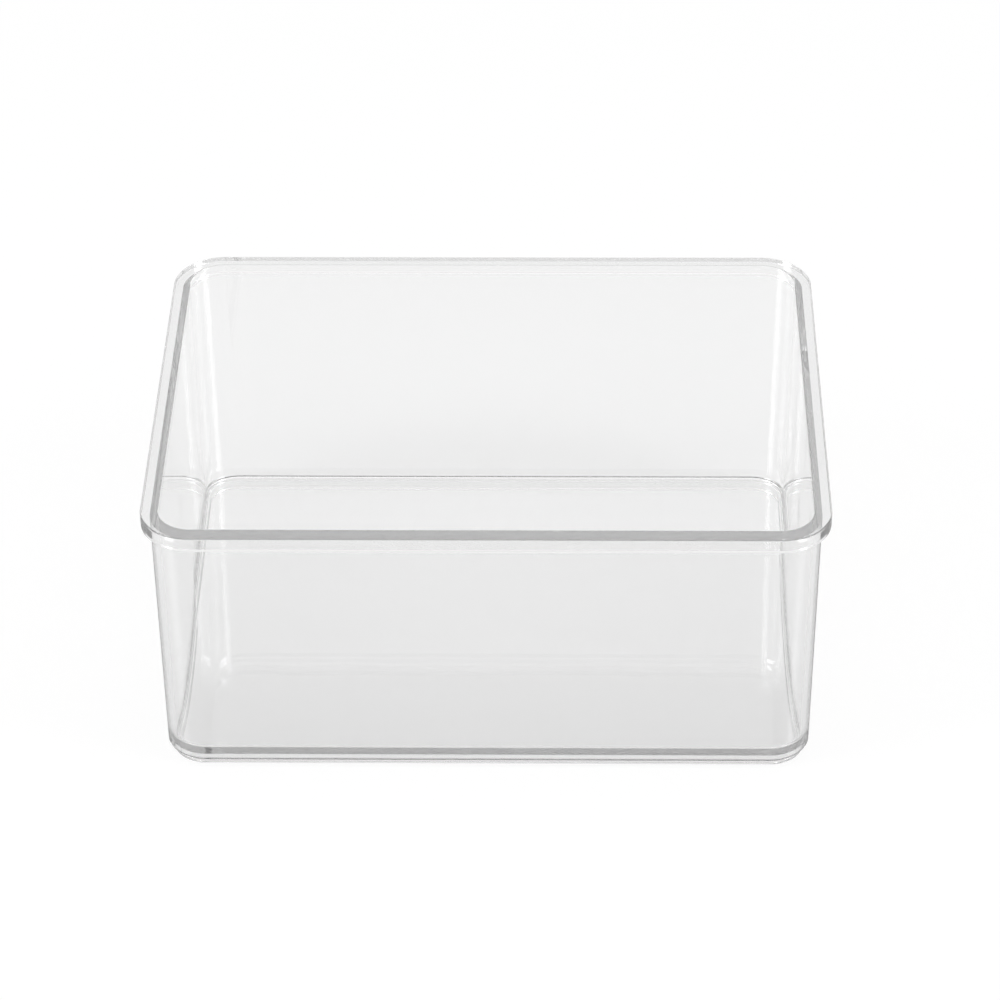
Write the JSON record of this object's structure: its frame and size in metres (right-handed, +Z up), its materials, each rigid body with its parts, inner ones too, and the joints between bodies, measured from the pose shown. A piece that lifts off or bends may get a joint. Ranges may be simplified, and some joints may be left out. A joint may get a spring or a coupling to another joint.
{
  "type": "stacking tray",
  "caption": "Clear open rectangular storage tray with a flat rim flange, drafted walls and a stepped foot ring that nests in the opening of the tray below.",
  "frame": {"origin": "centre of the footprint, on the plane of the foot ring's underside", "axes": "+X along the long side, to the right of someone facing the front; +Y to the back; +Z up, out of the open top"},
  "size_m": [0.195, 0.149, 0.0846],
  "materials": {
    "clear_plastic": "polished clear styrene, open to light, no tint"
  },
  "bodies": {
    "root": {"tray": "clear_plastic"}
  },
  "joints": []
}
